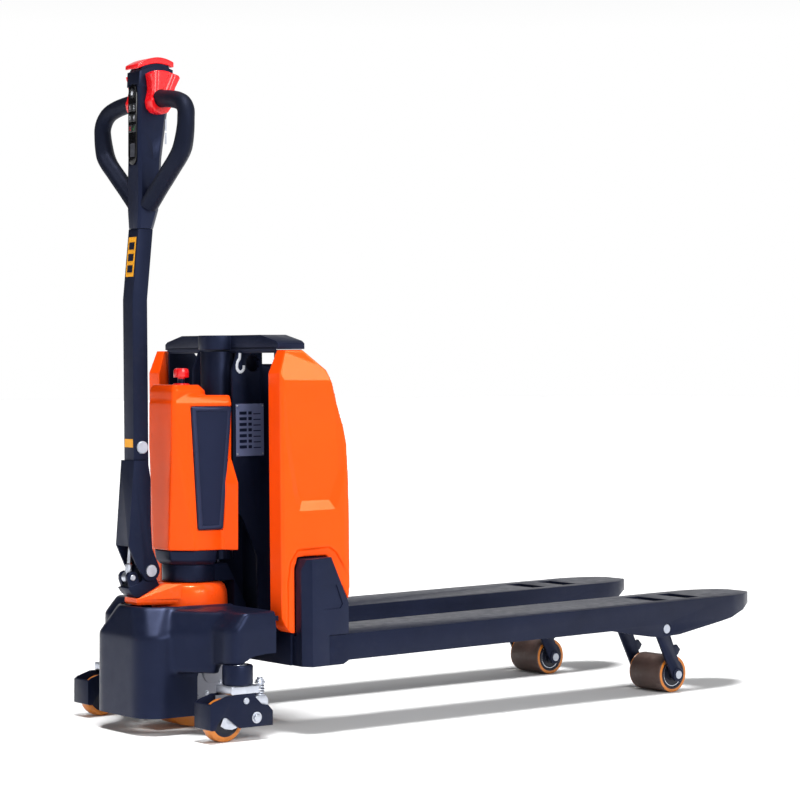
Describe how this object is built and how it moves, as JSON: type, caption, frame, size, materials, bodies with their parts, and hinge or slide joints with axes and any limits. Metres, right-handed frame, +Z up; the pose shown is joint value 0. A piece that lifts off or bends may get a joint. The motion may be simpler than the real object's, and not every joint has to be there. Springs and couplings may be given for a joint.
{
  "type": "electric pallet truck",
  "caption": "Walk-behind electric pallet truck: lifting fork frame with load rollers, battery hood, steered drive wheel, sprung side casters and a tilting tiller with control head.",
  "frame": {"origin": "middle of the footprint, on the floor", "axes": "+X along the forks towards their tips, +Y to the truck's left seen from the tiller facing the forks, +Z up"},
  "size_m": [1.5021, 0.553, 1.294],
  "materials": {
    "orange_paint": "gloss orange moulded cover",
    "black_steel": "satin black paint on welded steel",
    "black_plastic": "satin black moulding",
    "gloss_black": "gloss black membrane",
    "key_grey": "dark grey key",
    "red_plastic": "gloss red plastic",
    "zinc_steel": "bright zinc plating",
    "cast_metal": "grey casting",
    "pu_tyre": "amber polyurethane",
    "roller_tread": "brown-grey polyurethane"
  },
  "bodies": {
    "drive_base": {"drive_chassis": "black_steel", "skirt_cover": "black_plastic", "hood_cover": "orange_paint", "hood_collar": "black_plastic", "hood_insert_left": "black_plastic", "hood_insert_right": "black_plastic", "battery_pack": "black_plastic", "pump_unit": "cast_metal", "motor_controller": "cast_metal", "lift_cylinder": "black_steel", "caster_housing_left": "black_plastic", "caster_housing_right": "black_plastic"},
    "fork_frame": {"tower_frame": "black_steel", "top_cap": "black_plastic", "lift_ram": "zinc_steel", "fork_left": "black_steel", "fork_right": "black_steel", "side_panel_left": "orange_paint", "side_panel_right": "orange_paint", "foot_cover_left": "black_plastic", "foot_cover_right": "black_plastic"},
    "steer_head": {"steer_dome": "orange_paint", "drive_motor": "cast_metal", "gearbox": "cast_metal", "tiller_yoke": "black_steel"},
    "drive_wheel": {"drive_wheel_hub": "cast_metal", "drive_wheel_tyre": "pu_tyre"},
    "tiller": {"tiller_pivot_pin": "zinc_steel", "tiller_bracket": "black_steel", "tiller_tube": "black_steel", "head_housing": "black_plastic", "keypad_panel": "gloss_black", "handle_loop_left": "black_plastic", "handle_loop_right": "black_plastic"},
    "gas_spring_lower": {"gas_spring_rod": "zinc_steel"},
    "gas_spring_upper": {"gas_spring_tube": "black_steel"},
    "throttle": {"throttle_left": "red_plastic", "throttle_right": "red_plastic"},
    "belly_button": {"belly_button": "red_plastic"},
    "home_button": {"home_button": "key_grey"},
    "emergency_stop": {"emergency_stop_button": "red_plastic"},
    "heel_rocker": {"heel_rocker": "black_steel"},
    "key_1": {"key_1": "key_grey"},
    "key_2": {"key_2": "key_grey"},
    "key_3": {"key_3": "key_grey"},
    "key_4": {"key_4": "key_grey"},
    "key_5": {"key_5": "key_grey"},
    "key_6": {"key_6": "key_grey"},
    "roller_arm_left": {"roller_arm_left": "black_steel"},
    "load_roller_left": {"load_roller_left": "roller_tread"},
    "push_rod_left": {"push_rod_left": "zinc_steel"},
    "caster_swivel_left": {"caster_bracket_left": "black_steel"},
    "caster_rocker_left": {"caster_arm_left": "zinc_steel"},
    "caster_wheel_left": {"caster_wheel_left": "pu_tyre"},
    "roller_arm_right": {"roller_arm_right": "black_steel"},
    "load_roller_right": {"load_roller_right": "roller_tread"},
    "push_rod_right": {"push_rod_right": "zinc_steel"},
    "caster_swivel_right": {"caster_bracket_right": "black_steel"},
    "caster_rocker_right": {"caster_arm_right": "zinc_steel"},
    "caster_wheel_right": {"caster_wheel_right": "pu_tyre"}
  },
  "joints": [
    {"name": "fork_lift", "type": "slide", "parent": "drive_base", "child": "fork_frame", "axis": [-0.0124, 0, 0.9999], "range_m": [-0.115, 0]},
    {"name": "steer", "type": "hinge", "parent": "drive_base", "child": "steer_head", "pos_m": [-0.585, 0, 0.25], "axis": [0, 0, 1], "range_deg": [-85, 85]},
    {"name": "drive_wheel_spin", "type": "hinge", "parent": "steer_head", "child": "drive_wheel", "pos_m": [-0.585, 0, 0.105], "axis": [0, 1, 0], "continuous": true},
    {"name": "tiller_tilt", "type": "hinge", "parent": "steer_head", "child": "tiller", "pos_m": [-0.689, 0, 0.308], "axis": [0, -1, 0], "range_deg": [0, 75], "stiffness_Nm_per_rad": 40, "springref_deg": -28.65},
    {"name": "gas_spring_swing", "type": "hinge", "parent": "steer_head", "child": "gas_spring_lower", "pos_m": [-0.726, 0, 0.296], "axis": [0, -1, 0], "range_deg": [0, 79.5]},
    {"name": "gas_spring_slide", "type": "slide", "parent": "gas_spring_lower", "child": "gas_spring_upper", "axis": [0.0839, 0, 0.9965], "range_m": [-0.0456, 0]},
    {"name": "throttle_turn", "type": "hinge", "parent": "tiller", "child": "throttle", "pos_m": [-0.68, 0, 1.212], "axis": [0, 1, 0], "range_deg": [-25, 25], "stiffness_Nm_per_rad": 1},
    {"name": "belly_button_press", "type": "slide", "parent": "tiller", "child": "belly_button", "axis": [0, 0, -1], "range_m": [0, 0.004], "stiffness_N_per_m": 800, "springref_m": -0.002},
    {"name": "home_button_press", "type": "slide", "parent": "tiller", "child": "home_button", "axis": [1, 0, 0], "range_m": [0, 0.0008], "stiffness_N_per_m": 500, "springref_m": -0.001},
    {"name": "key_1_press", "type": "slide", "parent": "tiller", "child": "key_1", "axis": [1, 0, 0], "range_m": [0, 0.0008], "stiffness_N_per_m": 500, "springref_m": -0.001},
    {"name": "key_2_press", "type": "slide", "parent": "tiller", "child": "key_2", "axis": [1, 0, 0], "range_m": [0, 0.0008], "stiffness_N_per_m": 500, "springref_m": -0.001},
    {"name": "key_3_press", "type": "slide", "parent": "tiller", "child": "key_3", "axis": [1, 0, 0], "range_m": [0, 0.0008], "stiffness_N_per_m": 500, "springref_m": -0.001},
    {"name": "key_4_press", "type": "slide", "parent": "tiller", "child": "key_4", "axis": [1, 0, 0], "range_m": [0, 0.0008], "stiffness_N_per_m": 500, "springref_m": -0.001},
    {"name": "key_5_press", "type": "slide", "parent": "tiller", "child": "key_5", "axis": [1, 0, 0], "range_m": [0, 0.0008], "stiffness_N_per_m": 500, "springref_m": -0.001},
    {"name": "key_6_press", "type": "slide", "parent": "tiller", "child": "key_6", "axis": [1, 0, 0], "range_m": [0, 0.0008], "stiffness_N_per_m": 500, "springref_m": -0.001},
    {"name": "emergency_stop_press", "type": "slide", "parent": "drive_base", "child": "emergency_stop", "axis": [0, 0, -1], "range_m": [0, 0.0035]},
    {"name": "heel_rocker_turn", "type": "hinge", "parent": "fork_frame", "child": "heel_rocker", "pos_m": [-0.4236, 0, 0.1587], "axis": [0, 1, 0], "range_deg": [-60.1, 0]},
    {"name": "roller_arm_turn_left", "type": "hinge", "parent": "fork_frame", "child": "roller_arm_left", "pos_m": [0.44705, 0.197, 0.143], "axis": [0, 1, 0], "range_deg": [-70.2, 0]},
    {"name": "load_roller_spin_left", "type": "hinge", "parent": "roller_arm_left", "child": "load_roller_left", "pos_m": [0.49703, 0.197, 0.04], "axis": [0, 1, 0], "continuous": true},
    {"name": "push_rod_slide_left", "type": "slide", "parent": "fork_frame", "child": "push_rod_left", "axis": [0.9999, 0, 0.0124], "range_m": [-0.0361, 0]},
    {"name": "caster_swivel_left", "type": "hinge", "parent": "drive_base", "child": "caster_swivel_left", "pos_m": [-0.621, 0.218, 0.1], "axis": [0, 0, 1], "continuous": true},
    {"name": "caster_rocker_left", "type": "hinge", "parent": "caster_swivel_left", "child": "caster_rocker_left", "pos_m": [-0.596, 0.218, 0.044], "axis": [0, 1, 0], "range_deg": [0, 8], "stiffness_Nm_per_rad": 60, "springref_deg": -17.19},
    {"name": "caster_wheel_spin_left", "type": "hinge", "parent": "caster_rocker_left", "child": "caster_wheel_left", "pos_m": [-0.656, 0.218, 0.04], "axis": [0, 1, 0], "continuous": true},
    {"name": "roller_arm_turn_right", "type": "hinge", "parent": "fork_frame", "child": "roller_arm_right", "pos_m": [0.44705, -0.197, 0.143], "axis": [0, 1, 0], "range_deg": [-70.2, 0]},
    {"name": "load_roller_spin_right", "type": "hinge", "parent": "roller_arm_right", "child": "load_roller_right", "pos_m": [0.49703, -0.197, 0.04], "axis": [0, 1, 0], "continuous": true},
    {"name": "push_rod_slide_right", "type": "slide", "parent": "fork_frame", "child": "push_rod_right", "axis": [0.9999, 0, 0.0124], "range_m": [-0.0361, 0]},
    {"name": "caster_swivel_right", "type": "hinge", "parent": "drive_base", "child": "caster_swivel_right", "pos_m": [-0.621, -0.218, 0.1], "axis": [0, 0, 1], "continuous": true},
    {"name": "caster_rocker_right", "type": "hinge", "parent": "caster_swivel_right", "child": "caster_rocker_right", "pos_m": [-0.596, -0.218, 0.044], "axis": [0, 1, 0], "range_deg": [0, 8], "stiffness_Nm_per_rad": 60, "springref_deg": -17.19},
    {"name": "caster_wheel_spin_right", "type": "hinge", "parent": "caster_rocker_right", "child": "caster_wheel_right", "pos_m": [-0.656, -0.218, 0.04], "axis": [0, 1, 0], "continuous": true}
  ],
  "couplings": [
    {"joint": "heel_rocker_turn", "follows": "fork_lift", "rad_per_m": 9.106},
    {"joint": "gas_spring_swing", "follows": "tiller_tilt", "ratio": 1.0586},
    {"joint": "gas_spring_slide", "follows": "tiller_tilt", "m_per_rad": -0.0346},
    {"joint": "roller_arm_turn_left", "follows": "fork_lift", "rad_per_m": 10.64},
    {"joint": "push_rod_slide_left", "follows": "fork_lift", "ratio": 0.313},
    {"joint": "roller_arm_turn_right", "follows": "fork_lift", "rad_per_m": 10.64},
    {"joint": "push_rod_slide_right", "follows": "fork_lift", "ratio": 0.313}
  ]
}
